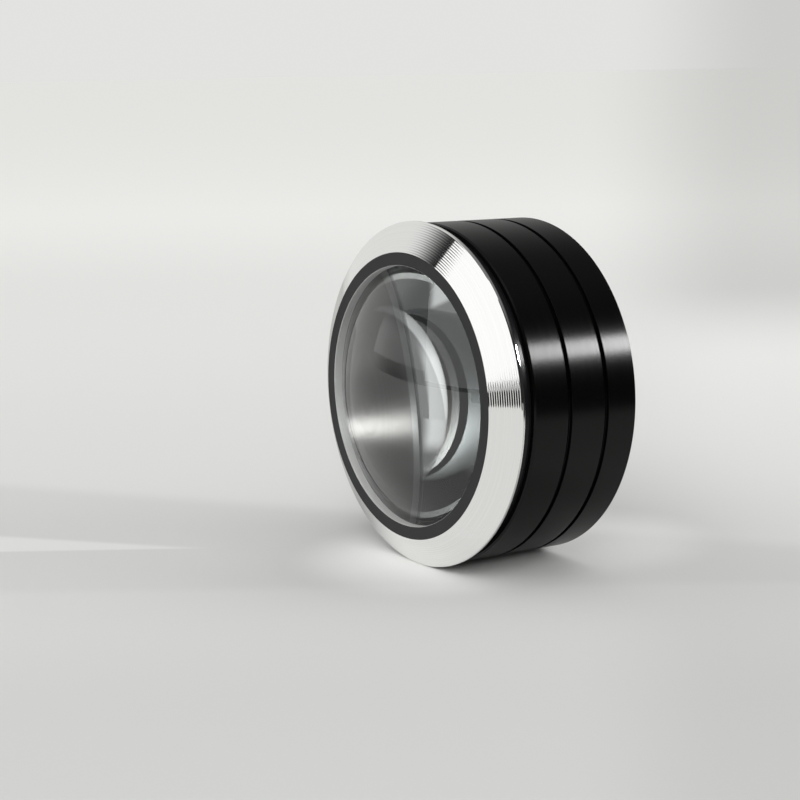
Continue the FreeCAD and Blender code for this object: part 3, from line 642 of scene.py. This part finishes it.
# Insulating ring
# Moulded in black plastic and left glossy. It keeps the bezel, which is the touch electrode, apart
# from the barrel, and shows as a dark gap between them.
ring_low, ring_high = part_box("insulating_ring")
fit_gap = 0.0001
collar_recess = 0.0012
collar_height = 0.0028
collar_plug = 0.0026
collar_wall = 0.0015
collar_root_ease = 0.00015
collar_radius = barrel_radius - collar_recess
collar_bore = 0.0331
plug_radius = barrel_radius - barrel_wall - fit_gap
plug_bottom = barrel_height - collar_plug
ring_outline = [
    (collar_bore, ring_low.z, fine_ease),
    (collar_bore + collar_wall, ring_low.z, fine_ease),
    (collar_bore + collar_wall, plug_bottom, fine_ease),
    (plug_radius, plug_bottom, fine_ease),
    (plug_radius, barrel_height, fine_ease),
    (collar_radius, barrel_height, collar_root_ease),
    (collar_radius, ring_high.z, fine_ease),
    (collar_bore, ring_high.z, fine_ease),
]


def grain_group():
    """The faint grain of a moulded surface: its height and a mask of slightly paler places."""
    group = bpy.data.node_groups.new("moulded_grain", "ShaderNodeTree")
    socket = group.interface.new_socket("Grain size", in_out="INPUT", socket_type="NodeSocketFloat")
    socket.default_value = 0.0004
    group.interface.new_socket("Height", in_out="OUTPUT", socket_type="NodeSocketFloat")
    group.interface.new_socket("Pale places", in_out="OUTPUT", socket_type="NodeSocketFloat")
    given = placed(group, "NodeGroupInput")
    where = placed(group, "ShaderNodeTexCoord")
    count = placed(group, "ShaderNodeMath", operation="DIVIDE", inputs={0: 1.0})
    fine = placed(group, "ShaderNodeTexNoise", inputs={"Detail": 4.0, "Roughness": 0.6})
    broad = placed(group, "ShaderNodeTexNoise", inputs={"Scale": 90.0, "Detail": 3.0})
    given_out = placed(group, "NodeGroupOutput")
    group.links.new(given.outputs[0], count.inputs[1])
    group.links.new(where.outputs["Object"], fine.inputs["Vector"])
    group.links.new(where.outputs["Object"], broad.inputs["Vector"])
    group.links.new(count.outputs[0], fine.inputs["Scale"])
    group.links.new(fine.outputs["Fac"], given_out.inputs["Height"])
    group.links.new(broad.outputs["Fac"], given_out.inputs["Pale places"])
    return group


moulded_grain = grain_group()


def grained(name, colour, roughness, grain, depth, rough_spread=0.08, metallic=0.0, contrast=0.12,
            specular=0.5):
    """A moulded or plain surface with a faint grain and uneven sheen."""
    material, tree = blank_material(name)
    shader = placed(tree, "ShaderNodeBsdfPrincipled", inputs={
        "Metallic": metallic, "Specular IOR Level": specular})
    out = placed(tree, "ShaderNodeOutputMaterial")
    texture = placed(tree, "ShaderNodeGroup", node_tree=moulded_grain, inputs={"Grain size": grain})
    tint = placed(tree, "ShaderNodeMix", data_type="RGBA", inputs={
        6: (*[(1 - contrast) * part for part in colour], 1),
        7: (*[min(1, (1 + contrast) * part) for part in colour], 1)})
    sheen = placed(tree, "ShaderNodeMapRange", inputs={
        "From Min": noise_range[0], "From Max": noise_range[1],
        "To Min": roughness - rough_spread / 2, "To Max": roughness + rough_spread / 2})
    relief = placed(tree, "ShaderNodeBump", inputs={"Strength": 1.0, "Distance": depth})
    tree.links.new(texture.outputs["Pale places"], tint.inputs[0])
    tree.links.new(tint.outputs[2], shader.inputs["Base Color"])
    tree.links.new(texture.outputs["Pale places"], sheen.inputs["Value"])
    tree.links.new(sheen.outputs[0], shader.inputs["Roughness"])
    tree.links.new(texture.outputs["Height"], relief.inputs["Height"])
    tree.links.new(relief.outputs[0], shader.inputs["Normal"])
    tree.links.new(shader.outputs[0], out.inputs[0])
    return material


gloss_black = grained("gloss_black_plastic", (0.006, 0.006, 0.007), roughness=0.20, grain=0.002,
                      depth=0.000002, rough_spread=0.04, specular=0.22)
fitted(turn_on_lathe("insulating_ring_moulded", ring_outline), "insulating_ring", "gloss_black_plastic",
       gloss_black)

# Bezel
# Turned from aluminium and left bare and bright, because a finger on it works the switch. The
# tool's feed has left an even row of shallow rings across the cone, and the rim is polished.
bezel_low, bezel_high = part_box("bezel")
bezel_radius = bezel_high.x
bezel_front = bezel_high.z
bezel_back = barrel_height + collar_height
bezel_break = 0.00025
bezel_band = 0.00075
ring_seat_radius = 0.0335
ring_seat_floor = 0.03307
lens_bore = 0.0317
skirt_inner = 0.0304
skirt_outer = 0.0330
gasket_seat = 0.02957
feed_rings = 14
points_per_ring = 8
feed_depth = 0.0000095
break_ease = 0.00012
band_ease = 0.00018
lip_ease = 0.00003
bore_margin = 0.0001
cone_inner = Vector((ring_seat_radius, bezel_front))
cone_outer = Vector((bezel_radius - bezel_break, bezel_back + bezel_break + bezel_band))
cone_slope = (cone_inner - cone_outer).normalized()
cone_outward = Vector((cone_slope.y, -cone_slope.x))
cone_points = []
for index in range(1, feed_rings * points_per_ring):
    share = index / (feed_rings * points_per_ring)
    sink = feed_depth * (1 - math.cos(2 * math.pi * share * feed_rings))
    point = cone_outer.lerp(cone_inner, share) - sink * cone_outward
    cone_points.append((point.x, point.y, 0))
bezel_outline = [
    (skirt_outer, bezel_back, fine_ease),
    (bezel_radius - bezel_break, bezel_back, break_ease),
    (bezel_radius, bezel_back + bezel_break, break_ease),
    (bezel_radius, bezel_back + bezel_band, band_ease),
    (cone_outer.x, cone_outer.y, fine_ease),
    *cone_points,
    (cone_inner.x, cone_inner.y, lip_ease),
    (ring_seat_radius, ring_seat_floor, fine_ease),
    (lens_bore, ring_seat_floor, fine_ease),
    (lens_bore, gasket_seat, fine_ease),
    (skirt_inner, gasket_seat, fine_ease),
    (skirt_inner, bezel_low.z, fine_ease),
    (skirt_outer, bezel_low.z, fine_ease),
]
bright_aluminium = turned_metal("bright_aluminium", (0.90, 0.90, 0.885), metallic=1.0, roughness=0.06,
                                spread=0.3, spacing=0.00010, mark_depth=0.0000006, rough_spread=0.04)
bored_dull = turned_metal("bored_dull", (0.17, 0.18, 0.18), metallic=0.55, roughness=0.36, spread=0.6,
                          spacing=0.00010, mark_depth=0.000004)
bezel = turn_on_lathe("bezel_turned", bezel_outline)
fitted(bezel, "bezel", "bright_aluminium", bright_aluminium, bored_dull)
for face in bezel.data.polygons:
    face.material_index = int(face.center.xy.length < skirt_inner + bore_margin)

# Retaining ring
# A matt black threaded ring, screwed down into the bezel on to the edge of the lens. Its face is
# dull, and its bore keeps the fine bright marks of the boring tool.
retaining_low, retaining_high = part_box("retaining_ring")
retaining_bore = 0.03045
thread_gap = 0.00005
retaining_outer = ring_seat_radius - thread_gap
lens_clear = 0.0318
bore_ridges = 9
points_per_ridge = 4
bore_depth = 0.00003
bore_reach = 3 * bore_depth
lens_contact = 0.0343
seat_corner = 0.03352
mouth_break = 0.0001
mouth_ease = 0.00005
face_edge_ease = 0.00010
bore_points = []
for index in range(1, bore_ridges * points_per_ridge):
    share = index / (bore_ridges * points_per_ridge)
    height = retaining_high.z - mouth_break + share * (lens_contact - retaining_high.z + mouth_break)
    sink = bore_depth * (1 - math.cos(2 * math.pi * share * bore_ridges))
    bore_points.append((retaining_bore + sink, height, 0))
retaining_outline = [
    (lens_clear, retaining_low.z, fine_ease),
    (retaining_outer, retaining_low.z, fine_ease),
    (retaining_outer, retaining_high.z, face_edge_ease),
    (retaining_bore + mouth_break, retaining_high.z, mouth_ease),
    (retaining_bore, retaining_high.z - mouth_break, mouth_ease),
    *bore_points,
    (retaining_bore, lens_contact, fine_ease),
    (lens_clear, seat_corner, fine_ease),
]
matt_black = grained("matt_black_metal", (0.012, 0.012, 0.0125), roughness=0.55, grain=0.00012,
                     depth=0.000006, specular=0.40)
bored_bright = turned_metal("bored_bright", (0.62, 0.62, 0.61), metallic=0.35, roughness=0.30,
                            spread=0.6, spacing=0.00010, mark_depth=0.000004)
retaining_ring = turn_on_lathe("retaining_ring_turned", retaining_outline)
fitted(retaining_ring, "retaining_ring", "matt_black_metal", matt_black, bored_bright)
for face in retaining_ring.data.polygons:
    face.material_index = int(face.center.xy.length < retaining_bore + bore_reach)

# Lens
# A thick biconvex lens of clear optical glass, ground and polished, with a flat edge. It lies on a
# thin rubber ring and is held by the ring above.
lens_low, lens_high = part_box("lens")
lens_radius = 0.0316
front_curve = 0.0555
back_curve = 0.1165
curve_steps = 72
edge_tilt = 0.3


def ground_curve(apex, curve, side):
    """Points of a ground face from the axis to the edge of the lens."""
    centre = apex - side * curve
    points = []
    for step in range(curve_steps + 1):
        radius = lens_radius * step / curve_steps
        points.append((radius, centre + side * math.sqrt(curve ** 2 - radius ** 2), 0))
    return points


back_face = ground_curve(lens_low.z, back_curve, -1)
front_face = ground_curve(lens_high.z, front_curve, 1)
edge_back, edge_front = back_face.pop(), front_face.pop()
lens_outline = [
    *back_face,
    (edge_back[0], edge_back[1], fine_ease),
    (edge_front[0], edge_front[1], fine_ease),
    *reversed(front_face),
]
lens_glass, tree = blank_material("lens_glass")
glass = placed(tree, "ShaderNodeBsdfPrincipled", inputs={
    "Base Color": (0.940, 0.985, 0.975, 1), "Roughness": 0.0, "IOR": 1.52, "Transmission Weight": 1.0})
glass_out = placed(tree, "ShaderNodeOutputMaterial")
tree.links.new(glass.outputs[0], glass_out.inputs[0])
ground_edge = grained("ground_edge", (0.16, 0.165, 0.165), roughness=0.6, grain=0.0002, depth=0.000004)
lens = turn_on_lathe("lens_ground", lens_outline, closed=False)
fitted(lens, "lens", "lens_glass", lens_glass, ground_edge)
for face in lens.data.polygons:
    face.material_index = int(abs(face.normal.z) < edge_tilt)


def refinish(node, *materials):
    """Gives a solid that keeps its own shape its finish."""
    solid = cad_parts[node]
    solid.data.materials.clear()
    for material in materials:
        solid.data.materials.append(material)


rubber_black = grained("rubber_black", (0.018, 0.018, 0.018), roughness=0.75, grain=0.0002,
                       depth=0.00001)
refinish("lens_gasket", rubber_black)

# Inner sleeve
# The wall of the viewing well: a thin tube, bored with a fine even feed and anodised dark, that
# stands in a rebate of the base.
sleeve_low, sleeve_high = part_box("inner_sleeve")
sleeve_outer = sleeve_high.x
sleeve_wall = 0.0012
sleeve_bore = sleeve_outer - sleeve_wall
sleeve_feed = 0.0004
sleeve_depth = 0.000003
sleeve_turns = int((sleeve_high.z - sleeve_low.z) / sleeve_feed)
points_per_turn = 5
sleeve_points = []
for index in range(1, sleeve_turns * points_per_turn):
    share = index / (sleeve_turns * points_per_turn)
    sink = sleeve_depth * (1 - math.cos(2 * math.pi * share * sleeve_turns))
    sleeve_points.append((sleeve_bore + sink, sleeve_high.z + share * (sleeve_low.z - sleeve_high.z), 0))
sleeve_outline = [
    (sleeve_bore, sleeve_low.z, fine_ease),
    (sleeve_outer, sleeve_low.z, fine_ease),
    (sleeve_outer, sleeve_high.z, fine_ease),
    (sleeve_bore, sleeve_high.z, fine_ease),
    *sleeve_points,
]
anodised_dark = turned_metal("anodised_dark", (0.212, 0.202, 0.196), metallic=0.92, roughness=0.43,
                             spread=1.0, spacing=0.00009, mark_depth=0.000005)
fitted(turn_on_lathe("inner_sleeve_turned", sleeve_outline), "inner_sleeve", "anodised_dark",
       anodised_dark)

# Light ring and light shield
# The ring is moulded in clear acrylic and frosted, and carries the light of the LEDs round the top of
# the well. A black plastic band lies on it and hides the board from the eye.
frosted_acrylic = turned_metal("frosted_acrylic", (0.30, 0.30, 0.295), metallic=0.8, roughness=0.46,
                               spread=0.9, spacing=0.00025, mark_depth=0.000008)
refinish("light_ring", frosted_acrylic)
black_plastic = grained("black_plastic", (0.022, 0.022, 0.023), roughness=0.48, grain=0.00035,
                        depth=0.00002)
shield_black = grained("shield_black", (0.014, 0.014, 0.014), roughness=0.70, grain=0.0002,
                       depth=0.00002, specular=0.15)
refinish("light_shield", shield_black)

# Circuit board
# A ring of green fibreglass with six white LEDs below it, their resistors and the two chips of the
# touch switch above, and two spring leaves that reach the bezel and the barrel.
board_green = grained("board_green", (0.02, 0.13, 0.05), roughness=0.35, grain=0.0006, depth=0.000008)
refinish("led_board", board_green)
led_white = grained("led_white", (0.82, 0.80, 0.66), roughness=0.4, grain=0.0003, depth=0.000004)
component_black = grained("component_black", (0.02, 0.02, 0.02), roughness=0.5, grain=0.0002,
                          depth=0.000006)
for index in range(1, 7):
    refinish(f"led_{index}", led_white)
    refinish(f"resistor_{index}", component_black)
for chip in ("touch_chip", "led_driver"):
    refinish(chip, component_black)
nickel_strip = grained("nickel_strip", (0.66, 0.63, 0.58), roughness=0.25, grain=0.0005, depth=0.000002,
                       metallic=1.0)
for leaf in ("touch_contact", "body_contact"):
    refinish(leaf, nickel_strip)

# Pillars and base screws
# Three turned brass pillars tie the base to the insulating ring. Each is tapped at its lower end for
# a flat-headed black screw that comes up through the base.
brass = grained("brass", (0.78, 0.56, 0.24), roughness=0.28, grain=0.0005, depth=0.000002, metallic=1.0)
for index in range(1, 4):
    refinish(f"pillar_{index}", brass)
screw_black = grained("screw_black", (0.05, 0.05, 0.055), roughness=0.32, grain=0.0003, depth=0.000003,
                      metallic=1.0)
refinish("base_screws", screw_black)

# Base ring and battery door
# The base is moulded in black plastic and closes the space round the well. The door over the cells
# lies flush in it, held by one screw, with a notch for a fingernail.
refinish("base_ring", black_plastic)
refinish("battery_door", black_plastic)
refinish("door_screw", screw_black)

# Cells and their holder
# Three button cells stand on edge in a moulded black tray. Nickel strips join them, and two more
# lead up to the board.
refinish("battery_holder", black_plastic)
cell_steel = grained("cell_steel", (0.72, 0.72, 0.71), roughness=0.22, grain=0.0006, depth=0.000002,
                     metallic=1.0)
for index in range(1, 4):
    refinish(f"cell_{index}", cell_steel)
for strip in ("link_inner", "link_outer", "contact_plus", "contact_minus"):
    refinish(strip, nickel_strip)
